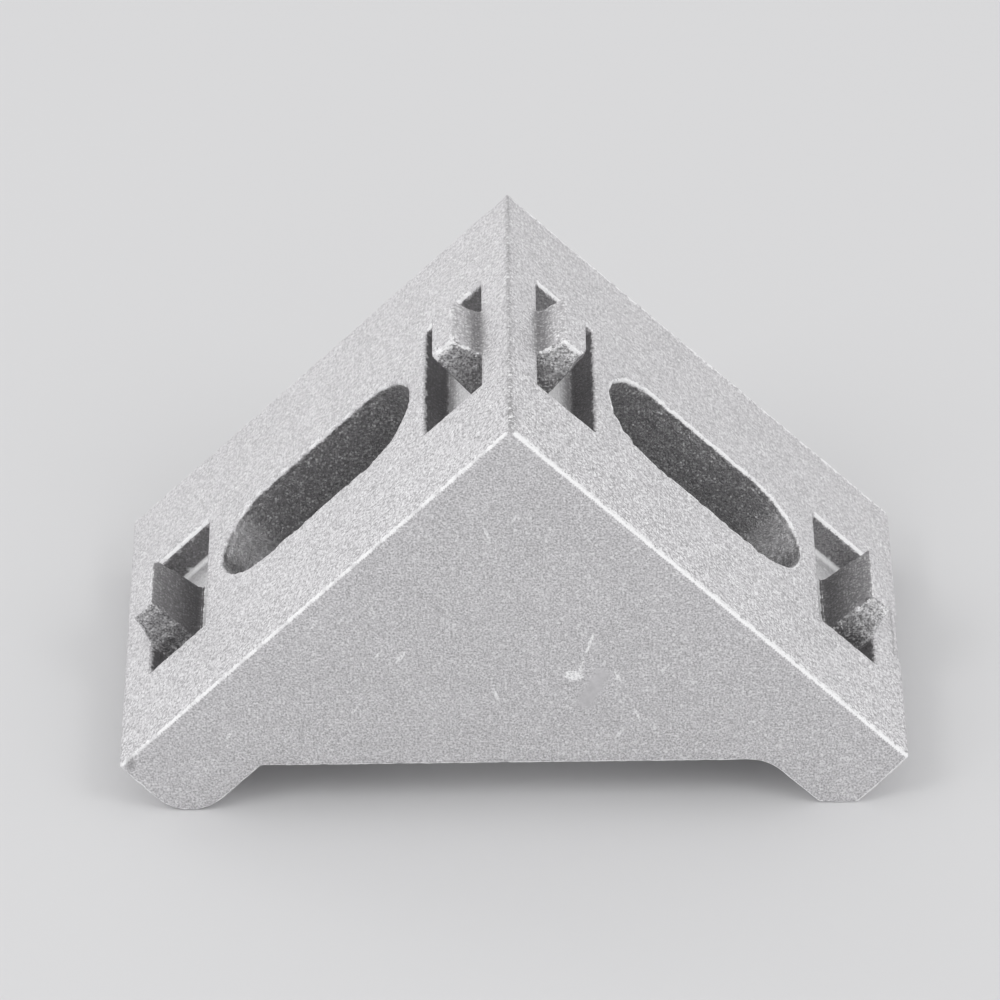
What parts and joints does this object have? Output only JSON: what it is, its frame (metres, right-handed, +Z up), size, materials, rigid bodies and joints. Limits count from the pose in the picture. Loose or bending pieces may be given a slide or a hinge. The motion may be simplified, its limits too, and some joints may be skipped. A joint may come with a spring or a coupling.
{
  "type": "t slot corner bracket",
  "caption": "Cast aluminium corner bracket for T-slot profile, with two gusset walls, a slotted bolt hole in each leg and small locating lugs.",
  "frame": {"origin": "centre of the bounding box at its bottom, on the plane that both feet stand on", "axes": "+Z up through the outer corner, halfway between the two legs; +X from the left leg's foot to the right leg's; +Y along the outer corner, away from the viewer"},
  "size_m": [0.0494, 0.028, 0.0282],
  "materials": {
    "cast_aluminium": "sand-blasted casting, fine grain"
  },
  "bodies": {
    "root": {"bracket": "cast_aluminium"}
  },
  "joints": []
}
